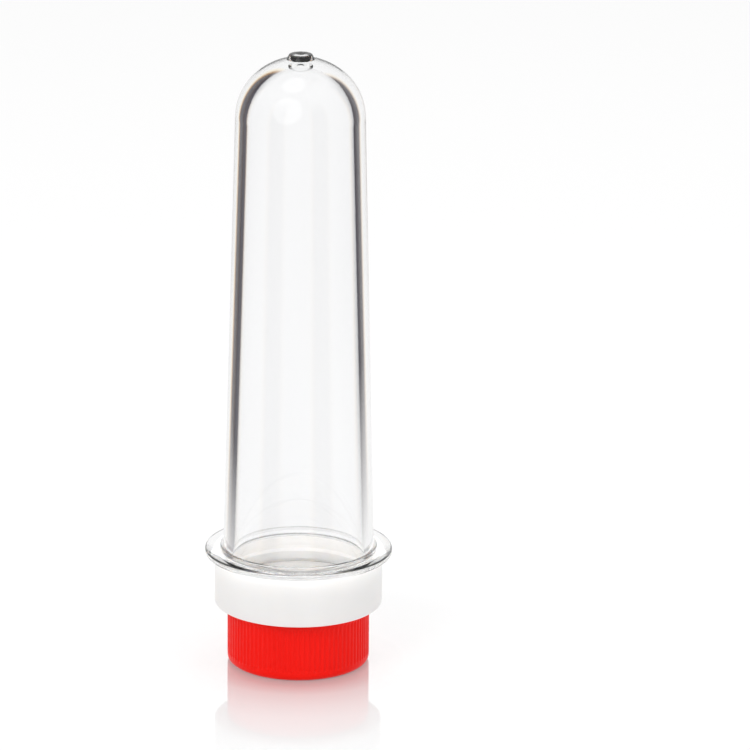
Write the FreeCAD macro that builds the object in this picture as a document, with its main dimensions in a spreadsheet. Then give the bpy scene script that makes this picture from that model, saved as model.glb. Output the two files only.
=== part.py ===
import FreeCAD, Part
import math
import os
import Sketcher

# Blow-moulding preform standing on its closure: a clear tube with its dome up, a white neck adapter
# snapped on below the support ring, and a ribbed screw cap on the adapter's threaded neck.
# Millimetres. The origin is the centre of the cap's closed end, on the surface it stands on, +Z up.
# Heights are above that surface. "Top" faces the dome and "under" faces the cap.
SIZES = {
    # preform: clear tube
    "mouthHeight": 20.0,  # the tube's open end, inside the adapter
    "neckRadius": 22.0,
    "neckBoreRadius": 19.9,
    "neckBoreTop": 31.0,  # above this the bore narrows into the thick body
    "bodyBoreStart": 38.0,
    "snapBeadRadius": 22.9,
    "snapBeadUnder": 23.4,
    "snapBeadHeight": 2.2,
    "snapLeadIn": 0.8,
    "ringUnder": 33.62,
    "ringThickness": 1.81,
    "ringRadius": 27.8,
    "ringBevel": 0.45,
    "stepRadius": 23.25,  # low step between ring and tube
    "stepHeight": 0.85,
    "footRadius": 22.33,
    "domeCentreHeight": 166.73,
    "domeSideRadius": 16.91,  # arc of the dome's flank
    "domeSideOffset": 2.07,  # how far that arc's centre stands off the axis
    "domeTop": 184.5,
    "wall": 3.6,
    "boreEndRadius": 15.4,
    "nubBaseRadius": 4.3,
    "nubTopRadius": 3.3,
    "nubSink": 0.8,
    "nubRise": 1.1,
    "nubDishRadius": 1.6,
    "nubDishDepth": 0.35,
    # neck adapter: white moulding
    "skirtUnder": 18.35,
    "skirtRadius": 24.95,
    "skirtWall": 1.75,
    "skirtBevel": 0.6,
    "webThickness": 1.65,
    "clipRadius": 22.35,  # inward ring that holds the preform's snap bead
    "clipUnder": 26.2,
    "clipHeight": 2.6,
    "lipHeight": 7.35,
    "neckRootRadius": 18.1,
    "lipBoreRadius": 16.9,
    "lipBevel": 0.4,
    "collarRadius": 14.15,
    "collarBoreRadius": 12.65,
    "collarDrop": 1.2,  # from the lip to the inner collar's end
    "collarLength": 5.1,
    "landDrop": 4.0,  # from the lip to the land that carries the collar
    "landThickness": 1.5,
    # right-hand single-start thread, a trapezoid in section
    "threadLead": 3.18,
    "halfLead": 1.59,
    "threadDepth": 0.9,
    "threadSink": 0.15,  # how far a ridge reaches into its wall
    "neckHalfRoot": 0.95,
    "neckHalfCrest": 0.35,
    "neckThreadDrop": 2.2,  # from the lip to the first ridge's middle
    "neckThreadTurns": 2.0,
    "capHalfRoot": 0.75,
    "capHalfCrest": 0.3,
    "capThreadTurns": 1.5,
    "threadSkin": 0.02,  # what the faded ends leave of the ridge
    "threadReach": 1.1,  # half the height milled away at a ridge's end
    "fadeWidth": 7.0,
    "fadeCutter": 12.0,
    # screw cap
    "capRadius": 21.14,
    "capHeight": 17.6,
    "capBoreRadius": 19.35,
    "capFloorTop": 2.0,
    "edgeRound": 1.7,  # closed end's rounding, turned as three short cones
    "edgeMiddle": 0.85,
    "edgeNear": 0.228,
    "capRimBevel": 0.35,
    "recessRadius": 16.5,
    "recessDepth": 0.4,
    "fluteCount": 86,
    "fluteDepth": 0.32,
    "fluteHalfFloor": 0.25,
    "fluteHalfMouth": 0.52,
    "fluteUnder": 2.7,
    "fluteTop": 16.1,  # a plain band is left round the open end
    # sealing plug in the cap
    "plugDiscRadius": 18.9,
    "plugDiscThickness": 1.1,
    "plugRadius": 16.55,
    "plugWall": 1.1,
    "plugTop": 9.1,
    "plugLeadIn": 0.5,
}

doc = FreeCAD.newDocument("PreformWithCap")
sheet = doc.addObject("Spreadsheet::Sheet", "Sizes")
for row, (alias, size) in enumerate(SIZES.items(), start=1):
    sheet.set("A%d" % row, alias)
    sheet.set("B%d" % row, str(size))
    sheet.setAlias("B%d" % row, alias)
doc.recompute()


def amount(formula):
    """Value of a sum of named sizes, such as 'ringUnder + ringThickness'."""
    total = 0.0
    sign = 1
    for word in formula.split():
        if word in ("+", "-"):
            sign = 1 if word == "+" else -1
        else:
            total += sign * (SIZES[word] if word in SIZES else float(word))
    return total


def bound(formula):
    """The same sum as an expression on the sheet's cells."""
    return " ".join("Sizes." + word if word in SIZES else word for word in formula.split())


def newBody(name):
    body = doc.addObject("PartDesign::Body", name)
    body.Label = name
    return body


def originPart(body, role):
    return next(part for part in body.Origin.OriginFeatures if part.Role == role)


def newSketch(body, name, plane, height=None):
    sketch = body.newObject("Sketcher::SketchObject", name)
    sketch.AttachmentSupport = (originPart(body, plane), [""])
    sketch.MapMode = "FlatFace"
    if height:
        sketch.setExpression("AttachmentOffset.Base.z", bound(height))
    return sketch


def fixDistance(sketch, kind, geometry, point, formula):
    """Tie one coordinate of a sketch point to the sheet."""
    value = amount(formula)
    if abs(value) < 1e-9:
        axis = -2 if kind == "DistanceX" else -1
        sketch.addConstraint(Sketcher.Constraint("PointOnObject", geometry, point, axis))
        return
    index = sketch.addConstraint(Sketcher.Constraint(kind, -1, 1, geometry, point, value))
    sketch.setExpression("Constraints[%d]" % index, bound(formula))


def fixPoint(sketch, geometry, point, across, up):
    fixDistance(sketch, "DistanceX", geometry, point, across)
    fixDistance(sketch, "DistanceY", geometry, point, up)


def drawOutline(sketch, corners):
    """Closed outline of straight lines; each corner is a pair of sums of named sizes."""
    points = [FreeCAD.Vector(amount(across), amount(up), 0) for across, up in corners]
    lines = [sketch.addGeometry(Part.LineSegment(point, points[(i + 1) % len(points)]), False)
             for i, point in enumerate(points)]
    for i, line in enumerate(lines):
        sketch.addConstraint(Sketcher.Constraint("Coincident", line, 2, lines[(i + 1) % len(lines)], 1))
    for line, (across, up) in zip(lines, corners):
        fixPoint(sketch, line, 1, across, up)


def revolve(body, name, sketch):
    turned = body.newObject("PartDesign::Revolution", name)
    turned.Profile = (sketch, [""])
    turned.ReferenceAxis = (sketch, ["V_Axis"])
    turned.Angle = 360
    doc.recompute()
    return turned


def circlesAt(shape, spots):
    """Names of the circular edges at the given (radius, height) pairs, sums of named sizes."""
    names = []
    for radius, height in spots:
        found = [
            "Edge%d" % (i + 1)
            for i, edge in enumerate(shape.Edges)
            if not edge.Degenerated
            and isinstance(edge.Curve, Part.Circle)
            and abs(edge.Curve.Radius - amount(radius)) < 1e-4
            and abs(edge.Curve.Center.z - amount(height)) < 1e-4
        ]
        if not found:
            raise ValueError("no edge at radius %s, height %s" % (radius, height))
        names += found
    return names


def bevelEdges(body, name, size, spots):
    base = body.Tip
    bevel = body.newObject("PartDesign::Chamfer", name)
    bevel.Base = (base, circlesAt(base.Shape, spots))
    bevel.setExpression("Size", bound(size))
    doc.recompute()
    return bevel


def addThread(body, name, wallRadius, crestSign, startHeight, halfRoot, halfCrest, turns):
    """A helical ridge on the wall; crestSign says whether it stands outwards (+) or inwards (-)."""
    sinkSign = "-" if crestSign == "+" else "+"
    root = "%s %s threadSink" % (wallRadius, sinkSign)
    crest = "%s %s threadDepth" % (wallRadius, crestSign)
    section = newSketch(body, name + "Section", "XZ_Plane")
    drawOutline(section, [
        (root, startHeight + " - " + halfRoot),
        (crest, startHeight + " - " + halfCrest),
        (crest, startHeight + " + " + halfCrest),
        (root, startHeight + " + " + halfRoot),
    ])
    doc.recompute()
    thread = body.newObject("PartDesign::AdditiveHelix", name)
    thread.Profile = (section, [""])
    thread.ReferenceAxis = (section, ["V_Axis"])
    thread.Mode = "pitch-turns-angle"
    thread.setExpression("Pitch", bound("threadLead"))
    thread.setExpression("Turns", bound(turns))
    thread.LeftHanded = False
    thread.Reversed = False
    doc.recompute()
    return thread


def pocket(body, name, sketch, depth):
    """Cut down from the sketch, and make sure that something was cut."""
    before = body.Tip.Shape.Volume
    cut = body.newObject("PartDesign::Pocket", name)
    cut.Profile = (sketch, [""])
    cut.Type = "Length"
    cut.setExpression("Length", bound(depth))
    doc.recompute()
    if cut.Shape.Volume >= before:
        raise RuntimeError(name + " cuts nothing")
    return cut


def fadeNeckThread(body, name, height):
    """Mill the ridge's end flat, level with the wall, so that it runs out of the wall."""
    plan = newSketch(body, name + "Plan", "XY_Plane", height + " + threadReach")
    flat = "neckRootRadius + threadSkin"
    far = "neckRootRadius + threadDepth + threadDepth"
    drawOutline(plan, [
        (flat, "0 - fadeWidth"),
        (far, "0 - fadeWidth"),
        (far, "fadeWidth"),
        (flat, "fadeWidth"),
    ])
    pocket(body, name, plan, "threadReach + threadReach")


def fadeCapThread(body, name, height, side):
    """Mill the inner ridge's end away with a round cutter that just clears the cap's wall."""
    plan = newSketch(body, name + "Plan", "XY_Plane", height + " + threadReach")
    centre = "capBoreRadius - threadSkin - fadeCutter"
    circle = plan.addGeometry(Part.Circle(
        FreeCAD.Vector(side * amount(centre), 0, 0), FreeCAD.Vector(0, 0, 1), SIZES["fadeCutter"]), False)
    index = plan.addConstraint(Sketcher.Constraint("Radius", circle, SIZES["fadeCutter"]))
    plan.setExpression("Constraints[%d]" % index, "Sizes.fadeCutter")
    plan.addConstraint(Sketcher.Constraint("PointOnObject", circle, 3, -1))
    index = plan.addConstraint(Sketcher.Constraint("DistanceX", -1, 1, circle, 3, side * amount(centre)))
    plan.setExpression("Constraints[%d]" % index, "%d * (%s)" % (side, bound(centre)))
    pocket(body, name, plan, "threadReach + threadReach")


# ---- preform ----
def makePreform():
    body = newBody("preform")
    outline = newSketch(body, "TubeOutline", "XZ_Plane")
    ringTop = "ringUnder + ringThickness"
    stepTop = ringTop + " + stepHeight"
    outer = [
        ("neckBoreRadius", "mouthHeight"),
        ("neckRadius", "mouthHeight"),
        ("neckRadius", "snapBeadUnder - snapLeadIn"),
        ("snapBeadRadius", "snapBeadUnder"),
        ("snapBeadRadius", "snapBeadUnder + snapBeadHeight"),
        ("neckRadius", "snapBeadUnder + snapBeadHeight"),
        ("neckRadius", "ringUnder"),
        ("ringRadius", "ringUnder"),
        ("ringRadius", ringTop),
        ("stepRadius", ringTop),
        ("stepRadius", stepTop),
        ("footRadius", stepTop),
    ]
    points = [FreeCAD.Vector(amount(across), amount(up), 0) for across, up in outer]
    for start, end in zip(points, points[1:]):
        outline.addGeometry(Part.LineSegment(start, end), False)
    for i in range(len(outer) - 2):
        outline.addConstraint(Sketcher.Constraint("Coincident", i, 2, i + 1, 1))
    for i, (across, up) in enumerate(outer[:-1]):
        fixPoint(outline, i, 1, across, up)
    last = len(outer) - 2
    fixPoint(outline, last, 2, *outer[-1])

    # outer flank and dome: line, flank arc, crown arc, each tangent to the next
    flankCentre = FreeCAD.Vector(SIZES["domeSideOffset"], SIZES["domeCentreHeight"], 0)
    flankRadius = SIZES["domeSideRadius"]
    turn = math.radians(44)  # first guesses; the sketch solves both angles
    taper = math.radians(1.5)
    join = flankCentre + FreeCAD.Vector(math.cos(turn), math.sin(turn), 0) * flankRadius
    crownCentre = FreeCAD.Vector(0, flankCentre.y - flankCentre.x * math.tan(turn), 0)
    crownRadius = join.distanceToPoint(crownCentre)
    flankStart = flankCentre + FreeCAD.Vector(math.cos(taper), math.sin(taper), 0) * flankRadius
    upright = FreeCAD.Vector(0, 0, 1)
    side = outline.addGeometry(Part.LineSegment(points[-1], flankStart), False)
    flank = outline.addGeometry(
        Part.ArcOfCircle(Part.Circle(flankCentre, upright, flankRadius), taper, turn), False)
    crown = outline.addGeometry(
        Part.ArcOfCircle(Part.Circle(crownCentre, upright, crownRadius), turn, math.pi / 2), False)
    outline.addConstraint(Sketcher.Constraint("Coincident", last, 2, side, 1))
    outline.addConstraint(Sketcher.Constraint("Tangent", side, 2, flank, 1))
    fixPoint(outline, flank, 3, "domeSideOffset", "domeCentreHeight")
    index = outline.addConstraint(Sketcher.Constraint("Radius", flank, flankRadius))
    outline.setExpression("Constraints[%d]" % index, "Sizes.domeSideRadius")
    outline.addConstraint(Sketcher.Constraint("Tangent", flank, 2, crown, 1))
    outline.addConstraint(Sketcher.Constraint("PointOnObject", crown, 3, -2))
    fixPoint(outline, crown, 2, "0", "domeTop")

    # bore: round end, the body's taper, then the wider neck
    wall = SIZES["wall"]
    roundRadius = SIZES["boreEndRadius"]
    roundCentre = FreeCAD.Vector(0, SIZES["domeTop"] - wall - roundRadius, 0)
    boreStart = roundCentre + FreeCAD.Vector(math.cos(taper), math.sin(taper), 0) * roundRadius
    bodyBore = FreeCAD.Vector(SIZES["footRadius"] - wall, SIZES["bodyBoreStart"], 0)
    neckBore = FreeCAD.Vector(SIZES["neckBoreRadius"], SIZES["neckBoreTop"], 0)
    roundEnd = outline.addGeometry(
        Part.ArcOfCircle(Part.Circle(roundCentre, upright, roundRadius), taper, math.pi / 2), False)
    boreSide = outline.addGeometry(Part.LineSegment(boreStart, bodyBore), False)
    boreCone = outline.addGeometry(Part.LineSegment(bodyBore, neckBore), False)
    boreNeck = outline.addGeometry(Part.LineSegment(neckBore, points[0]), False)
    axisLine = outline.addGeometry(Part.LineSegment(
        FreeCAD.Vector(0, SIZES["domeTop"], 0), FreeCAD.Vector(0, SIZES["domeTop"] - wall, 0)), False)
    outline.addConstraint(Sketcher.Constraint("Coincident", crown, 2, axisLine, 1))
    outline.addConstraint(Sketcher.Constraint("Coincident", axisLine, 2, roundEnd, 2))
    fixPoint(outline, axisLine, 2, "0", "domeTop - wall")
    outline.addConstraint(Sketcher.Constraint("PointOnObject", roundEnd, 3, -2))
    index = outline.addConstraint(Sketcher.Constraint("Radius", roundEnd, roundRadius))
    outline.setExpression("Constraints[%d]" % index, "Sizes.boreEndRadius")
    outline.addConstraint(Sketcher.Constraint("Tangent", roundEnd, 1, boreSide, 1))
    fixPoint(outline, boreSide, 2, "footRadius - wall", "bodyBoreStart")
    outline.addConstraint(Sketcher.Constraint("Coincident", boreSide, 2, boreCone, 1))
    fixPoint(outline, boreCone, 2, "neckBoreRadius", "neckBoreTop")
    outline.addConstraint(Sketcher.Constraint("Coincident", boreCone, 2, boreNeck, 1))
    outline.addConstraint(Sketcher.Constraint("Coincident", boreNeck, 2, 0, 1))
    doc.recompute()
    revolve(body, "Tube", outline)

    # gate nub on the dome
    nub = newSketch(body, "NubOutline", "XZ_Plane")
    drawOutline(nub, [
        ("0", "domeTop - nubSink"),
        ("nubBaseRadius", "domeTop - nubSink"),
        ("nubTopRadius", "domeTop + nubRise"),
        ("nubDishRadius", "domeTop + nubRise"),
        ("0", "domeTop + nubRise - nubDishDepth"),
    ])
    revolve(body, "GateNub", nub)
    bevelEdges(body, "RingEdges", "ringBevel", [("ringRadius", "ringUnder"), ("ringRadius", ringTop)])
    return body


# ---- neck adapter ----
def makeNeckAdapter():
    body = newBody("neck_adapter")
    outline = newSketch(body, "AdapterOutline", "XZ_Plane")
    webTop = "skirtUnder + webThickness"
    skirtBore = "skirtRadius - skirtWall"
    clipTop = "clipUnder + clipHeight"
    landUnder = "lipHeight + landDrop"
    landTop = landUnder + " + landThickness"
    collarUnder = "lipHeight + collarDrop"
    collarTop = collarUnder + " + collarLength"
    drawOutline(outline, [
        ("neckRootRadius", "lipHeight"),
        ("neckRootRadius", "skirtUnder"),
        ("skirtRadius", "skirtUnder"),
        ("skirtRadius", "ringUnder"),
        (skirtBore, "ringUnder"),
        (skirtBore, clipTop + " + snapLeadIn"),
        ("clipRadius", clipTop),
        ("clipRadius", "clipUnder"),
        (skirtBore, "clipUnder"),
        (skirtBore, webTop),
        ("lipBoreRadius", webTop),
        ("lipBoreRadius", landTop),
        ("collarRadius", landTop),
        ("collarRadius", collarTop),
        ("collarBoreRadius", collarTop),
        ("collarBoreRadius", collarUnder),
        ("collarRadius", collarUnder),
        ("collarRadius", landUnder),
        ("lipBoreRadius", landUnder),
        ("lipBoreRadius", "lipHeight"),
    ])
    revolve(body, "Moulding", outline)
    bevelEdges(body, "SkirtEdge", "skirtBevel", [("skirtRadius", "skirtUnder")])
    bevelEdges(body, "LipEdges", "lipBevel", [
        ("neckRootRadius", "lipHeight"), ("collarBoreRadius", collarUnder)])
    threadStart = "lipHeight + neckThreadDrop"
    addThread(body, "NeckThread", "neckRootRadius", "+", threadStart,
              "neckHalfRoot", "neckHalfCrest", "neckThreadTurns")
    fadeNeckThread(body, "ThreadStart", threadStart)
    fadeNeckThread(body, "ThreadEnd", threadStart + " + threadLead + threadLead")
    return body


# ---- screw cap ----
def makeScrewCap():
    body = newBody("screw_cap")
    outline = newSketch(body, "CapOutline", "XZ_Plane")
    drawOutline(outline, [
        ("0", "recessDepth"),
        ("recessRadius", "recessDepth"),
        ("recessRadius", "0"),
        ("capRadius - edgeRound", "0"),
        ("capRadius - edgeMiddle", "edgeNear"),
        ("capRadius - edgeNear", "edgeMiddle"),
        ("capRadius", "edgeRound"),
        ("capRadius", "capHeight"),
        ("capBoreRadius", "capHeight"),
        ("capBoreRadius", "capFloorTop"),
        ("0", "capFloorTop"),
    ])
    revolve(body, "Shell", outline)
    bevelEdges(body, "Rim", "capRimBevel", [("capRadius", "capHeight"), ("capBoreRadius", "capHeight")])

    # between the neck's ridges when screwed down
    threadStart = "lipHeight + neckThreadDrop + halfLead"
    addThread(body, "CapThread", "capBoreRadius", "-", threadStart,
              "capHalfRoot", "capHalfCrest", "capThreadTurns")
    fadeCapThread(body, "ThreadStart", threadStart, 1)
    fadeCapThread(body, "ThreadEnd", threadStart + " + threadLead + halfLead", -1)

    plan = newSketch(body, "FlutePlan", "XY_Plane", "fluteTop")
    floor = "capRadius - fluteDepth"
    mouth = "capRadius"
    drawOutline(plan, [(floor, "0 - fluteHalfFloor"), (mouth, "0 - fluteHalfMouth"),
                       (mouth, "fluteHalfMouth"), (floor, "fluteHalfFloor")])
    flute = pocket(body, "Flute", plan, "fluteTop - fluteUnder")
    flutes = body.newObject("PartDesign::PolarPattern", "Flutes")
    flutes.Originals = [flute]
    flutes.Axis = (originPart(body, "Z_Axis"), [""])
    flutes.Angle = 360
    flutes.setExpression("Occurrences", "Sizes.fluteCount")
    body.Tip = flutes
    doc.recompute()
    return body


# ---- seal plug ----
def makeSealPlug():
    body = newBody("seal_plug")
    outline = newSketch(body, "PlugOutline", "XZ_Plane")
    discTop = "capFloorTop + plugDiscThickness"
    bore = "plugRadius - plugWall"
    drawOutline(outline, [
        ("0", "capFloorTop"),
        ("plugDiscRadius", "capFloorTop"),
        ("plugDiscRadius", discTop),
        ("plugRadius", discTop),
        ("plugRadius", "plugTop - plugLeadIn"),
        ("plugRadius - plugLeadIn", "plugTop"),
        (bore, "plugTop"),
        (bore, discTop),
        ("0", discTop),
    ])
    revolve(body, "Plug", outline)
    return body


bodies = [makePreform(), makeNeckAdapter(), makeScrewCap(), makeSealPlug()]
doc.recompute()

for item in doc.Objects:
    if "Invalid" in item.State or "Error" in item.State:
        raise RuntimeError("%s failed: %s" % (item.Name, item.State))
for body in bodies:
    if body.Shape.isNull() or not body.Shape.isValid():
        raise RuntimeError("%s has no valid shape" % body.Label)

os.makedirs("parts", exist_ok=True)
for body in bodies:
    body.Shape.exportStep("parts/%s.step" % body.Label)
    shape = body.Shape
    print("%s: z %.2f to %.2f mm, volume %.2f cm3, solids %d"
          % (body.Label, shape.BoundBox.ZMin, shape.BoundBox.ZMax, shape.Volume / 1000, len(shape.Solids)))
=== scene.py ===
from math import atan, cos, hypot, pi, radians, sin, tan

import bmesh
import bpy
from mathutils import Matrix, Vector


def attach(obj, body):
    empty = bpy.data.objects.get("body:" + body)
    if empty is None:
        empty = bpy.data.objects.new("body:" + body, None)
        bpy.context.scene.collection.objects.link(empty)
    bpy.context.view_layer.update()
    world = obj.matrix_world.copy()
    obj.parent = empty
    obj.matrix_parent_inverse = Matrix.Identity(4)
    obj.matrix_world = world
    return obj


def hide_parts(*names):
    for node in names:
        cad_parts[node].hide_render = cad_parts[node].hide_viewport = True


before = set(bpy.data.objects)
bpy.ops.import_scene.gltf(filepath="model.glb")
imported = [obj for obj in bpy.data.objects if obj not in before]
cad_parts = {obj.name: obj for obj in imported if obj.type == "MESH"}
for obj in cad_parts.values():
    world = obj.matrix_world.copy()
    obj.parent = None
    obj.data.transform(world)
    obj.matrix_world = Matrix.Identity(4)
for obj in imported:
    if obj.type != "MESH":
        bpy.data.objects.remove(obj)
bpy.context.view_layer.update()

mm = 0.001
mergeWithin = 0.002 * mm
scene = bpy.context.scene
scene.view_settings.view_transform = "Standard"


def newMesh(name, bm, sharpAngle=32):
    bmesh.ops.remove_doubles(bm, verts=bm.verts, dist=mergeWithin)
    bmesh.ops.recalc_face_normals(bm, faces=bm.faces)
    for face in bm.faces:
        face.smooth = True
    for edge in bm.edges:
        edge.smooth = len(edge.link_faces) == 2 and edge.calc_face_angle(0) < radians(sharpAngle)
    mesh = bpy.data.meshes.new(name)
    bm.to_mesh(mesh)
    bm.free()
    piece = bpy.data.objects.new(name, mesh)
    scene.collection.objects.link(piece)
    return piece


def startProfile(bm, radius, height):
    return bm.verts.new((radius * mm, 0, height * mm))


def lineTo(bm, vert, radius, height):
    nextVert = bm.verts.new((radius * mm, 0, height * mm))
    bm.edges.new((vert, nextVert))
    return nextVert


def arcTo(bm, vert, centreRadius, centreHeight, turn, steps):
    # a positive turn runs from the side towards the top
    arc = bmesh.ops.spin(bm, geom=[vert], cent=(centreRadius * mm, 0, centreHeight * mm), axis=(0, -1, 0),
                         angle=radians(turn), steps=steps)
    return next(part for part in arc["geom_last"] if isinstance(part, bmesh.types.BMVert))


def spinProfile(bm, steps):
    bmesh.ops.spin(bm, geom=bm.verts[:] + bm.edges[:], cent=(0, 0, 0), axis=(0, 0, 1), angle=2 * pi,
                   steps=steps, use_merge=True)
    bmesh.ops.remove_doubles(bm, verts=bm.verts, dist=mergeWithin)


def softenRings(bm, rings, width, segments=3):
    found = [edge for edge in bm.edges
             if any(all(abs(hypot(v.co.x, v.co.y) - r * mm) < 0.01 * mm and abs(v.co.z - z * mm) < 0.01 * mm
                        for v in edge.verts) for r, z in rings)]
    bmesh.ops.bevel(bm, geom=found, offset=width * mm, offset_type="OFFSET", affect="EDGES",
                    segments=segments, profile=0.5, material=-1, clamp_overlap=True)


def newTree(name):
    material = bpy.data.materials.new(name)
    material.use_nodes = True
    tree = material.node_tree
    return material, tree, tree.nodes["Principled BSDF"]


def addNode(tree, kind, **settings):
    node = tree.nodes.new(kind)
    for setting, value in settings.items():
        setattr(node, setting, value)
    return node


def noiseOn(tree, scale, stretch, detail=2.0):
    coords = addNode(tree, "ShaderNodeTexCoord")
    mapping = addNode(tree, "ShaderNodeMapping")
    mapping.inputs["Scale"].default_value = stretch
    noise = addNode(tree, "ShaderNodeTexNoise")
    noise.inputs["Scale"].default_value = scale
    noise.inputs["Detail"].default_value = detail
    tree.links.new(coords.outputs["Object"], mapping.inputs["Vector"])
    tree.links.new(mapping.outputs["Vector"], noise.inputs["Vector"])
    return noise.outputs["Fac"]


def spread(tree, value, low, high):
    ranged = addNode(tree, "ShaderNodeMapRange")
    ranged.inputs["From Min"].default_value = 0.3
    ranged.inputs["From Max"].default_value = 0.7
    ranged.inputs["To Min"].default_value = low
    ranged.inputs["To Max"].default_value = high
    tree.links.new(value, ranged.inputs["Value"])
    return ranged.outputs["Result"]


def blendColours(tree, factor, first, second):
    mix = addNode(tree, "ShaderNodeMix", data_type="RGBA")
    mix.inputs["A"].default_value = (*first, 1)
    mix.inputs["B"].default_value = (*second, 1)
    tree.links.new(factor, mix.inputs["Factor"])
    return mix.outputs["Result"]


mouldedPlastic = {
    "whiteColours": ((0.800, 0.795, 0.785), (0.830, 0.826, 0.818)),
    "redColours": ((0.900, 0.0055, 0.0012), (0.950, 0.0075, 0.0022)),
    "sealColours": ((0.800, 0.795, 0.770), (0.830, 0.825, 0.805)),
    "flowScale": 55,  # slow drift of shade along the moulding
    "skinScale": 900,  # fine grain
    "skinDepth": 0.03,
    "unevenness": 0.05,  # either side of the roughness
    "glowDepth": 3,
}


def makePlastic(name, colours, roughness, grain, shine=0.5, glow=0.0):
    kit = mouldedPlastic
    material, tree, shader = newTree(name)
    flow = noiseOn(tree, kit["flowScale"], (1, 1, 0.35))
    tree.links.new(blendColours(tree, spread(tree, flow, 0, 1), *colours), shader.inputs["Base Color"])
    skin = noiseOn(tree, kit["skinScale"], (1, 1, 1), 3)
    tree.links.new(spread(tree, skin, roughness - kit["unevenness"], roughness + kit["unevenness"]),
                   shader.inputs["Roughness"])
    bump = addNode(tree, "ShaderNodeBump")
    bump.inputs["Strength"].default_value = grain
    bump.inputs["Distance"].default_value = kit["skinDepth"] * mm
    tree.links.new(skin, bump.inputs["Height"])
    tree.links.new(bump.outputs["Normal"], shader.inputs["Normal"])
    shader.inputs["Specular IOR Level"].default_value = shine
    shader.inputs["Subsurface Weight"].default_value = glow
    shader.inputs["Subsurface Scale"].default_value = kit["glowDepth"] * mm
    shader.inputs["Subsurface Radius"].default_value = (1, 0.9, 0.8)
    return material


clearPlastic = {
    "ior": 1.575,
    "tints": ((0.952, 0.953, 0.957), (0.966, 0.967, 0.969)),
    "roughness": 0.0,
}


def makeClear(name, kit):
    material, tree, shader = newTree(name)
    flow = noiseOn(tree, 90, (1, 1, 0.08))
    tree.links.new(blendColours(tree, spread(tree, flow, 0, 1), *kit["tints"]), shader.inputs["Base Color"])
    shader.inputs["Transmission Weight"].default_value = 1
    shader.inputs["IOR"].default_value = kit["ior"]
    shader.inputs["Roughness"].default_value = kit["roughness"]
    lampPath = addNode(tree, "ShaderNodeLightPath")
    through = addNode(tree, "ShaderNodeBsdfTransparent")
    mix = addNode(tree, "ShaderNodeMixShader")
    out = tree.nodes["Material Output"]
    tree.links.new(lampPath.outputs["Is Shadow Ray"], mix.inputs["Fac"])
    tree.links.new(shader.outputs["BSDF"], mix.inputs[1])
    tree.links.new(through.outputs["BSDF"], mix.inputs[2])
    tree.links.new(mix.outputs["Shader"], out.inputs["Surface"])
    return material


clear = makeClear("clearBottlePlastic", clearPlastic)
white = makePlastic("whiteMoulding", mouldedPlastic["whiteColours"], 0.42, 0.10, 0.5, 0.5)
red = makePlastic("redMoulding", mouldedPlastic["redColours"], 0.40, 0.10, 0.15)
seal = makePlastic("sealMoulding", mouldedPlastic["sealColours"], 0.50, 0.08)
print("materials ready")


preform = {
    "steps": 288,
    "mouth": (19.9, 22.0, 20.0),  # bore radius, outer radius, height
    "bead": (22.9, 23.4, 25.6, 0.8),
    "ring": (27.8, 33.62, 35.43),
    "step": (23.25, 36.28),
    "foot": (22.33, 36.28),
    "flank": (2.07, 166.73, 16.91),  # centre radius, centre height, arc radius
    "flankFrom": 1.5,
    "flankTo": 44.0,
    "domeTop": 184.5,
    "wall": 3.6,
    "boreEnd": 15.4,
    "boreFoot": 38.0,
    "neckBore": 31.0,
    "nub": (4.3, 3.3, 1.1, 1.6, 0.35),  # base, top, rise, dish radius, dish depth
    "ringEdge": 0.55,
    "fineEdge": 0.22,
    "nubEdge": 0.3,
}


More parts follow.
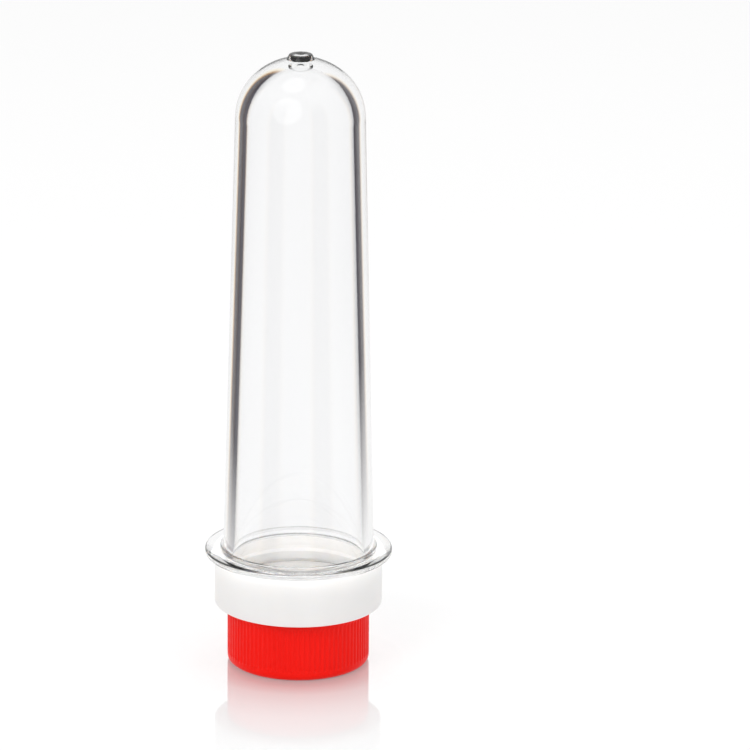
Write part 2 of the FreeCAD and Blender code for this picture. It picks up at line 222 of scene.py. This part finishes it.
def makePreform(kit):
    bm = bmesh.new()
    boreRadius, neckRadius, mouthHeight = kit["mouth"]
    beadRadius, beadUnder, beadTop, leadIn = kit["bead"]
    ringRadius, ringUnder, ringTop = kit["ring"]
    stepRadius, stepTop = kit["step"]
    flankX, flankZ, flankRadius = kit["flank"]
    turnFrom, turnTo = kit["flankFrom"], kit["flankTo"]
    nubBase, nubTop, nubRise, dishRadius, dishDepth = kit["nub"]
    topHeight = kit["domeTop"]

    crownZ = flankZ - flankX * tan(radians(turnTo))

    first = vert = startProfile(bm, boreRadius, mouthHeight)
    for radius, height in ((neckRadius, mouthHeight), (neckRadius, beadUnder - leadIn),
                           (beadRadius, beadUnder), (beadRadius, beadTop), (neckRadius, beadTop),
                           (neckRadius, ringUnder), (ringRadius, ringUnder), (ringRadius, ringTop),
                           (stepRadius, ringTop), (stepRadius, stepTop), kit["foot"]):
        vert = lineTo(bm, vert, radius, height)
    vert = lineTo(bm, vert, flankX + flankRadius * cos(radians(turnFrom)),
                  flankZ + flankRadius * sin(radians(turnFrom)))
    vert = arcTo(bm, vert, flankX, flankZ, turnTo - turnFrom, 28)
    # the crown stops at the nub's foot
    footTurn = 90 - (180 / pi) * atan(nubBase * 0.985 / (topHeight - crownZ)) - turnTo
    vert = arcTo(bm, vert, 0, crownZ, footTurn, 24)
    vert = lineTo(bm, vert, nubTop, topHeight + nubRise)
    vert = lineTo(bm, vert, dishRadius, topHeight + nubRise)
    vert = lineTo(bm, vert, 0, topHeight + nubRise - dishDepth)
    # bore, from the mouth up to its round end
    wall = kit["wall"]
    endRadius = kit["boreEnd"]
    endZ = topHeight - wall - endRadius
    vert = lineTo(bm, first, boreRadius, kit["neckBore"])
    vert = lineTo(bm, vert, kit["foot"][0] - wall, kit["boreFoot"])
    vert = lineTo(bm, vert, endRadius * cos(radians(turnFrom)), endZ + endRadius * sin(radians(turnFrom)))
    arcTo(bm, vert, 0, endZ, 90 - turnFrom, 40)
    spinProfile(bm, kit["steps"])

    softenRings(bm, [(ringRadius, ringUnder), (ringRadius, ringTop)], kit["ringEdge"], 4)
    softenRings(bm, [(stepRadius, stepTop), (neckRadius, mouthHeight), (boreRadius, mouthHeight)],
                kit["fineEdge"])
    softenRings(bm, [(nubTop, topHeight + nubRise)], kit["nubEdge"])
    softenRings(bm, [(dishRadius, topHeight + nubRise)], kit["nubEdge"])
    return newMesh("clearTube", bm, 40)


tube = makePreform(preform)
tube.data.materials.append(clear)
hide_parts("preform")
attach(tube, "bottle")
print("preform", len(tube.data.polygons))


adapter = {
    "steps": 256,
    "skirt": (24.95, 1.75, 18.35, 33.62),  # radius, wall, underside, top
    "webTop": 20.0,
    "clip": (22.35, 26.2, 28.8, 0.8),
    "lip": (18.1, 16.9, 7.35),  # outside, bore, height
    "land": (11.35, 12.85),
    "collar": (14.15, 12.65, 8.55, 13.65),
    "edge": 0.5,
    "innerCorner": 0.6,
    "fineEdge": 0.25,
}

neckThread = {
    "lead": 3.18,
    "depth": 0.9,
    "turns": 2.0,
    "root": 1.9,
    "crest": 0.7,
    "start": 9.55,
    "fade": 28,  # degrees over which an end rises out of the wall
    "sink": 0.2,
    "edge": 0.2,
}


def makeAdapter(kit):
    bm = bmesh.new()
    skirtRadius, skirtWall, skirtUnder, skirtTop = kit["skirt"]
    clipRadius, clipUnder, clipTop, leadIn = kit["clip"]
    rootRadius, lipBore, lipHeight = kit["lip"]
    landUnder, landTop = kit["land"]
    collarRadius, collarBore, collarUnder, collarTop = kit["collar"]
    skirtBore = skirtRadius - skirtWall
    corners = [
        (rootRadius, lipHeight), (rootRadius, skirtUnder), (skirtRadius, skirtUnder),
        (skirtRadius, skirtTop), (skirtBore, skirtTop), (skirtBore, clipTop + leadIn),
        (clipRadius, clipTop), (clipRadius, clipUnder), (skirtBore, clipUnder),
        (skirtBore, kit["webTop"]), (lipBore, kit["webTop"]), (lipBore, landTop),
        (collarRadius, landTop), (collarRadius, collarTop), (collarBore, collarTop),
        (collarBore, collarUnder), (collarRadius, collarUnder), (collarRadius, landUnder),
        (lipBore, landUnder), (lipBore, lipHeight),
    ]
    first = vert = startProfile(bm, *corners[0])
    for corner in corners[1:]:
        vert = lineTo(bm, vert, *corner)
    bm.edges.new((vert, first))
    spinProfile(bm, kit["steps"])
    softenRings(bm, [(skirtRadius, skirtUnder)], kit["edge"], 4)
    softenRings(bm, [(rootRadius, skirtUnder)], kit["innerCorner"])
    softenRings(bm, [(rootRadius, lipHeight), (lipBore, lipHeight), (collarRadius, collarUnder),
                     (collarBore, collarUnder), (collarRadius, collarTop), (collarBore, collarTop)],
                kit["fineEdge"])
    return newMesh("neckAdapter", bm)


neck = makeAdapter(adapter)
neck.data.materials.append(white)
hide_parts("neck_adapter")
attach(neck, "bottle")


def makeRidge(kit, wallRadius, side):
    # a trapezoid led round the axis; side is 1 on an outer wall and -1 in a bore
    bm = bmesh.new()
    foot = wallRadius - side * kit["sink"]
    crest = wallRadius + side * kit["depth"]
    section = [(foot, -kit["root"] / 2), (crest, -kit["crest"] / 2),
               (crest, kit["crest"] / 2), (foot, kit["root"] / 2)]
    verts = [bm.verts.new((radius * mm, 0, (kit["start"] + up) * mm)) for radius, up in section]
    face = bm.faces.new(verts)
    steps = int(kit["turns"] * 120)
    bmesh.ops.spin(bm, geom=[face, *face.edges, *verts], cent=(0, 0, 0), axis=(0, 0, 1),
                   dvec=(0, 0, kit["lead"] * kit["turns"] / steps * mm),
                   angle=2 * pi * kit["turns"], steps=steps)
    return bm


def fadeEnds(bm, kit, wallRadius, side):
    total = kit["lead"] * kit["turns"] * mm
    for vert in bm.verts:
        radius = hypot(vert.co.x, vert.co.y)
        proud = side * (radius - wallRadius * mm)
        if proud < 0:
            continue
        angle = (Vector((vert.co.x, vert.co.y)).angle_signed(Vector((1, 0)), 0)) % (2 * pi)
        lift = (vert.co.z - kit["start"] * mm) / (kit["lead"] * mm) * 2 * pi  # rough angle led so far
        led = angle + round((lift - angle) / (2 * pi)) * 2 * pi
        along = min(led, 2 * pi * kit["turns"] - led) / radians(kit["fade"])
        share = max(0.0, min(1.0, along))
        share = share * share * (3 - 2 * share)
        scale = (wallRadius * mm + side * (proud * share - 0.05 * mm * (1 - share))) / radius
        vert.co.x *= scale
        vert.co.y *= scale


def makeThread(name, kit, wallRadius, side):
    bm = makeRidge(kit, wallRadius, side)
    fadeEnds(bm, kit, wallRadius, side)
    bmesh.ops.bevel(bm, geom=[edge for edge in bm.edges if edge.calc_face_angle(0) > radians(40)],
                    offset=kit["edge"] * mm, offset_type="OFFSET", affect="EDGES", segments=2, profile=0.5,
                    material=-1)
    return newMesh(name, bm)


ridge = makeThread("neckThread", neckThread, adapter["lip"][0], 1)
ridge.data.materials.append(white)
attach(ridge, "bottle")
print("adapter", len(neck.data.polygons), len(ridge.data.polygons))


cap = {
    "radius": 21.14,
    "height": 17.6,
    "bore": 19.35,
    "floorTop": 2.0,
    "edge": 1.7,
    "rim": 0.35,
    "recess": (16.5, 0.4),
    "flutes": 86,
    "fluteDepth": 0.32,
    "fluteFloor": 0.25,
    "fluteMouth": 0.52,
    "fluteFrom": 2.7,
    "fluteTo": 16.1,
    "fluteRun": 0.35,  # height over which a flute's end rises to the skin
}

capThread = {
    "lead": 3.18,
    "depth": 0.9,
    "turns": 1.5,
    "root": 1.5,
    "crest": 0.6,
    "start": 11.14,
    "fade": 28,
    "sink": 0.2,
    "edge": 0.15,
}


def makeCap(kit):
    bm = bmesh.new()
    radius, height = kit["radius"], kit["height"]
    pitch = 360 / kit["flutes"]
    floorTurn = kit["fluteFloor"] / radius * 180 / pi
    mouthTurn = kit["fluteMouth"] / radius * 180 / pi
    turns = (-pitch / 2, -mouthTurn, -floorTurn, floorTurn, mouthTurn, pitch / 2)
    # outer skin of one sector: closed end, rounded edge, fluted wall, plain rim band
    first = vert = startProfile(bm, 0, kit["recess"][1])
    vert = lineTo(bm, vert, *kit["recess"])
    vert = lineTo(bm, vert, kit["recess"][0], 0)
    vert = lineTo(bm, vert, radius - kit["edge"], 0)
    vert = arcTo(bm, vert, radius - kit["edge"], kit["edge"], 90, 8)
    for up in (kit["fluteFrom"], kit["fluteFrom"] + kit["fluteRun"],
               kit["fluteTo"] - kit["fluteRun"], kit["fluteTo"], height - kit["rim"]):
        vert = lineTo(bm, vert, radius, up)
    vert = arcTo(bm, vert, radius - kit["rim"], height - kit["rim"], 90, 3)
    vert = lineTo(bm, vert, kit["bore"] + kit["rim"], height)
    vert = lineTo(bm, vert, kit["bore"], height - kit["rim"])
    vert = lineTo(bm, vert, kit["bore"], kit["floorTop"])
    lineTo(bm, vert, 0, kit["floorTop"])
    bmesh.ops.rotate(bm, verts=bm.verts, cent=(0, 0, 0), matrix=Matrix.Rotation(radians(turns[0]), 3, "Z"))
    edges = bm.edges[:]
    verts = bm.verts[:]
    for start, end in zip(turns, turns[1:]):
        swept = bmesh.ops.spin(bm, geom=verts + edges, cent=(0, 0, 0), axis=(0, 0, 1),
                               angle=radians(end - start), steps=1)
        verts = [part for part in swept["geom_last"] if isinstance(part, bmesh.types.BMVert)]
        edges = [part for part in swept["geom_last"] if isinstance(part, bmesh.types.BMEdge)]
    # press the flute in
    deepFrom, deepTo = kit["fluteFrom"] + kit["fluteRun"] / 2, kit["fluteTo"] - kit["fluteRun"] / 2
    for vert in bm.verts:
        out = hypot(vert.co.x, vert.co.y)
        if out > (radius - 0.01) * mm and deepFrom * mm < vert.co.z < deepTo * mm:
            turn = abs(Vector((vert.co.x, vert.co.y)).angle(Vector((1, 0)))) * 180 / pi
            if turn < (floorTurn + mouthTurn) / 2:
                vert.co.xy *= (radius - kit["fluteDepth"]) / radius
    sector = bm.verts[:] + bm.edges[:] + bm.faces[:]
    bmesh.ops.spin(bm, geom=sector, cent=(0, 0, 0), axis=(0, 0, 1), angle=2 * pi, steps=kit["flutes"],
                   use_duplicate=True, use_merge=False)
    bmesh.ops.remove_doubles(bm, verts=bm.verts, dist=0.004 * mm)
    return newMesh("screwCap", bm, 38)


lid = makeCap(cap)
lid.data.materials.append(red)
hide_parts("screw_cap")
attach(lid, "cap")

lidThread = makeThread("capThread", capThread, cap["bore"], -1)
lidThread.data.materials.append(red)
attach(lidThread, "cap")
print("cap", len(lid.data.polygons), len(lidThread.data.polygons))


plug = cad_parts["seal_plug"]
plug.material_slots[0].material = seal


studio = {
    "ambient": 0.62,  # light on the opaque pieces
    "lightThrough": 3.2,  # the same for what lies behind the clear wall
    "seenThrough": 1.06,
    # level of the surroundings that only reflections off the clear skin see: a painted reflection level
    "skinGlance": 0.75,
    "whiteWindow": (-24.0, 33.0),  # degrees of turn between which the surroundings stay white; outside it they are painted dark, for rays turned aside inside the clear wall only, as painted dark edges on the tube
    "overhead": (0.45, 0.75),  # how high a ray must point to find white again
    "paintedHighlightDiscs": (  # painted highlights, discs that only reflections off the clear skin see: aim, outer and inner half angle, level
        ((-0.395, -0.791, 0.467), 28, 24, 1.0),
        ((-0.158, -0.1, 0.982), 18, 14, 1.0),
    ),
    "floorRadius": 6,
    "floorDrop": 0.02,  # keeps the cap's face clear of the floor
    "floorColour": 0.80,
    "floorShadow": 0.42,
    "floorGlow": 0.57,
    # the floor's mirror is tinted dark and the surroundings it reflects are brightened by the same share,
    # so only the reflected cap darkens: painted shade in the reflection strip; its strength is painted to
    # fall off with distance from the cap
    "mirrorShadeTint": 0.6,
    "mirrorFall": ((0.19, 0.60), (0.22, 0.57), (0.29, 0.38), (0.375, 0.30), (0.466, 0.23), (0.56, 0.19),
                   (0.65, 0.14), (0.75, 0.10), (0.9, 0.0)),
    "mirrorReach": 0.11,
    "mirrorBlur": 0.03,
    # a floor disc that glows only for rays thrown about by the clear wall: painted light
    "tableFrom": 0.23,
    "tableTo": 0.50,
    "tableShift": 0.07,
    "paintedTableGlow": 0.95,
}


def maths(tree, operation, first, second=None, clamp=False):
    node = addNode(tree, "ShaderNodeMath", operation=operation, use_clamp=clamp)
    for socket, value in zip(node.inputs, (first, second)):
        if value is None:
            continue
        if isinstance(value, (int, float)):
            socket.default_value = value
        else:
            tree.links.new(value, socket)
    return node.outputs["Value"]


def sortRays(tree):
    # seen: not yet scattered by an opaque surface
    # aside: turned aside once inside the clear wall; glance: thrown back by its skin
    # through: passed straight through clear walls; mirrored: come off the polished floor
    path = addNode(tree, "ShaderNodeLightPath")
    seen = maths(tree, "LESS_THAN", path.outputs["Diffuse Depth"], 0.5)
    turned = maths(tree, "GREATER_THAN", path.outputs["Glossy Depth"], 0.5)
    singular = path.outputs["Is Singular Ray"]
    thrown = maths(tree, "MULTIPLY", maths(tree, "MULTIPLY", turned, singular), seen)
    inside = maths(tree, "COMPARE", path.outputs["Transmission Depth"], 2)
    inside.node.inputs[2].default_value = 1.2
    passed = maths(tree, "GREATER_THAN", path.outputs["Transmission Depth"], 0.5)
    aside = maths(tree, "MULTIPLY", thrown, inside)
    straight = maths(tree, "SUBTRACT", 1, turned)
    blurred = maths(tree, "SUBTRACT", 1, singular)
    return {
        "path": path,
        "seen": seen,
        "aside": aside,
        "glance": maths(tree, "SUBTRACT", thrown, aside),
        "passed": passed,
        "through": maths(tree, "MULTIPLY", maths(tree, "MULTIPLY", straight, passed), seen),
        "mirrored": maths(tree, "MULTIPLY", maths(tree, "MULTIPLY", turned, blurred), seen),
    }


def pickColour(tree, factor, first, second):
    mix = addNode(tree, "ShaderNodeMix", data_type="RGBA")
    tree.links.new(factor, mix.inputs["Factor"])
    for socket, value in ((mix.inputs["A"], first), (mix.inputs["B"], second)):
        if isinstance(value, (int, float)):
            socket.default_value = (value, value, value, 1)
        else:
            tree.links.new(value, socket)
    return mix.outputs["Result"]


def pickShader(tree, factor, first, second):
    mix = addNode(tree, "ShaderNodeMixShader")
    tree.links.new(factor, mix.inputs["Fac"])
    tree.links.new(first, mix.inputs[1])
    tree.links.new(second, mix.inputs[2])
    return mix.outputs["Shader"]


def fillRamp(ramp, stops):
    elements = ramp.color_ramp.elements
    while len(elements) < len(stops):
        elements.new(0.5)
    for element, (place, colour) in zip(elements, stops):
        element.position = place
        element.color = (*colour, 1)


def makeWorld(kit):
    world = bpy.data.worlds.new("studio")
    scene.world = world
    world.use_nodes = True
    tree = world.node_tree
    tree.nodes.clear()
    rays = sortRays(tree)
    direction = addNode(tree, "ShaderNodeTexCoord").outputs["Generated"]
    axes = addNode(tree, "ShaderNodeSeparateXYZ")
    tree.links.new(direction, axes.inputs["Vector"])
    turn = maths(tree, "ARCTAN2", axes.outputs["X"], axes.outputs["Y"])
    folded = maths(tree, "WRAP", turn, pi / 4)
    folded.node.inputs[2].default_value = -pi / 4
    position = maths(tree, "MULTIPLY_ADD", folded, 2 / pi)
    position.node.inputs[2].default_value = 0.5
    # painted dark edges: dark and tinted surroundings that only rays turned aside inside the clear wall see
    ramp = addNode(tree, "ShaderNodeValToRGB")
    left, right = kit["whiteWindow"]
    stops = [
        (left - 5, (0.020, 0.016, 0.034)),
        (left - 1.5, (0.42, 0.20, 0.05)),
        (left + 3, (1.0, 0.90, 0.72)),
        (left + 8, (1.0, 1.0, 1.0)),
        (right - 8, (1.0, 1.0, 1.0)),
        (right - 3, (1.0, 0.93, 0.82)),
        (right + 1.5, (0.45, 0.36, 0.30)),
        (right + 5, (0.075, 0.07, 0.085)),
    ]
    fillRamp(ramp, [(0.5 + angle / 90, colour) for angle, colour in stops])
    tree.links.new(position, ramp.inputs["Fac"])

    overhead = addNode(tree, "ShaderNodeMapRange")
    overhead.inputs["From Min"].default_value = kit["overhead"][0]
    overhead.inputs["From Max"].default_value = kit["overhead"][1]
    tree.links.new(axes.outputs["Z"], overhead.inputs["Value"])
    paintedDarkSides = pickColour(tree, overhead.outputs["Result"], ramp.outputs["Color"], 1.0)

    # painted highlights: discs added to the level that reflections off the skin of the clear wall see; only
    # that skin shows them and they light nothing
    glow = kit["skinGlance"]
    for aim, outer, inner, level in kit["paintedHighlightDiscs"]:
        towards = addNode(tree, "ShaderNodeVectorMath", operation="DOT_PRODUCT")
        tree.links.new(direction, towards.inputs[0])
        towards.inputs[1].default_value = Vector(aim).normalized()
        disc = addNode(tree, "ShaderNodeMapRange")
        disc.inputs["From Min"].default_value = cos(radians(outer))
        disc.inputs["From Max"].default_value = cos(radians(inner))
        disc.inputs["To Max"].default_value = level
        tree.links.new(towards.outputs["Value"], disc.inputs["Value"])
        glow = maths(tree, "ADD", disc.outputs["Result"], glow)

    shown = pickColour(tree, rays["aside"], 1.0, paintedDarkSides)
    shown = pickColour(tree, rays["glance"], shown, glow)
    shown = pickColour(tree, rays["through"], shown, kit["seenThrough"])
    # surroundings brightened for the floor's dark-tinted mirror, so only the reflected cap carries the
    # painted shade
    shown = pickColour(tree, rays["mirrored"], shown, 1 / kit["mirrorShadeTint"])
    lit = pickColour(tree, rays["passed"], kit["ambient"], kit["lightThrough"])
    final = pickColour(tree, rays["seen"], lit, shown)
    background = addNode(tree, "ShaderNodeBackground")
    tree.links.new(final, background.inputs["Color"])
    tree.links.new(background.outputs["Background"],
                   addNode(tree, "ShaderNodeOutputWorld").inputs["Surface"])


def makeFloor(kit):
    bm = bmesh.new()
    bmesh.ops.create_circle(bm, cap_ends=True, radius=kit["floorRadius"], segments=96)
    floor = newMesh("floor", bm)
    for vert in floor.data.vertices:
        vert.co.z = -kit["floorDrop"] * mm
    material = bpy.data.materials.new("paleFloor")
    material.use_nodes = True
    tree = material.node_tree
    tree.nodes.clear()
    rays = sortRays(tree)
    coords = addNode(tree, "ShaderNodeTexCoord").outputs["Object"]
    length = addNode(tree, "ShaderNodeVectorMath", operation="LENGTH")
    tree.links.new(coords, length.inputs[0])

    def matt(colour):
        diffuse = addNode(tree, "ShaderNodeBsdfDiffuse")
        diffuse.inputs["Color"].default_value = (colour, colour, colour, 1)
        return diffuse.outputs["BSDF"]

    def shining(strength):
        emission = addNode(tree, "ShaderNodeEmission")
        emission.inputs["Strength"].default_value = strength
        return emission.outputs["Emission"]

    lit = addNode(tree, "ShaderNodeAddShader")
    tree.links.new(matt(kit["floorShadow"]), lit.inputs[0])
    tree.links.new(shining(kit["floorGlow"]), lit.inputs[1])
    look = pickShader(tree, rays["seen"], matt(kit["floorColour"]), lit.outputs["Shader"])

    # painted shade and reflection fade: a dark-tinted mirror, stronger near the cap, for camera rays only
    gloss = addNode(tree, "ShaderNodeBsdfGlossy")
    gloss.inputs["Roughness"].default_value = kit["mirrorBlur"]
    gloss.inputs["Color"].default_value = (kit["mirrorShadeTint"],) * 3 + (1,)
    fall = addNode(tree, "ShaderNodeValToRGB")
    fillRamp(fall, [(place, (value,) * 3) for place, value in kit["mirrorFall"]])
    outward = maths(tree, "MULTIPLY", length.outputs["Value"], 1 / kit["mirrorReach"])
    tree.links.new(outward, fall.inputs["Fac"])
    firstHit = maths(tree, "MULTIPLY", fall.outputs["Color"], rays["path"].outputs["Is Camera Ray"])
    look = pickShader(tree, firstHit, look, gloss.outputs["BSDF"])

    # painted light: rays thrown about by the clear wall find a glowing disc of floor nearby, which no other
    # ray sees, and see past it further off
    shifted = addNode(tree, "ShaderNodeVectorMath", operation="DISTANCE")
    tree.links.new(coords, shifted.inputs[0])
    shifted.inputs[1].default_value = (kit["tableShift"], 0, 0)
    edge = addNode(tree, "ShaderNodeMapRange")
    edge.inputs["From Min"].default_value = kit["tableFrom"]
    edge.inputs["From Max"].default_value = kit["tableTo"]
    tree.links.new(shifted.outputs["Value"], edge.inputs["Value"])
    past = addNode(tree, "ShaderNodeBsdfTransparent").outputs["BSDF"]
    paintedGlowDisc = pickShader(tree, edge.outputs["Result"], shining(kit["paintedTableGlow"]), past)
    look = pickShader(tree, maths(tree, "ADD", rays["aside"], rays["glance"]), look, paintedGlowDisc)
    look = pickShader(tree, rays["through"], look, shining(kit["seenThrough"]))
    tree.links.new(look, addNode(tree, "ShaderNodeOutputMaterial").inputs["Surface"])
    floor.data.materials.append(material)


makeWorld(studio)
makeFloor(studio)

softLights = {  # place, aimed at, size, power
    "frontLeft": ((-0.9, -1.3, 1.1), (0, 0, 0.08), 0.9, 11.0),
    "frontRight": ((1.2, -0.9, 0.9), (0, 0, 0.08), 0.9, 3.5),
    "overhead": ((0.1, 0.4, 1.7), (0, 0, 0.0), 1.4, 9.0),
}


def makeLights(kit):
    for name, (place, aim, size, power) in kit.items():
        light = bpy.data.lights.new(name, "AREA")
        light.shape = "DISK"
        light.size = size
        light.energy = power
        lamp = bpy.data.objects.new(name, light)
        lamp.location = place
        lamp.rotation_euler = (Vector(aim) - Vector(place)).to_track_quat("-Z", "Y").to_euler()
        lamp.visible_camera = False
        lamp.visible_glossy = False
        lamp.visible_transmission = False
        scene.collection.objects.link(lamp)


makeLights(softLights)

cameraKit = {
    "place": (0, -1.49297, 0.5449),
    "lens": 254.39,
    "tilt": 16.994,
    "pan": 0.855,
    "roll": 0.496,
}


def makeCamera(kit):
    data = bpy.data.cameras.new("camera")
    data.lens = kit["lens"]
    data.clip_end = 20
    camera = bpy.data.objects.new("camera", data)
    scene.collection.objects.link(camera)
    turn = (Matrix.Rotation(radians(-kit["pan"]), 4, "Z")
            @ Matrix.Rotation(pi / 2 - radians(kit["tilt"]), 4, "X")
            @ Matrix.Rotation(radians(kit["roll"]), 4, "Z"))
    camera.matrix_world = Matrix.Translation(kit["place"]) @ turn
    scene.camera = camera


makeCamera(cameraKit)
print("studio ready")

bpy.context.view_layer.update()
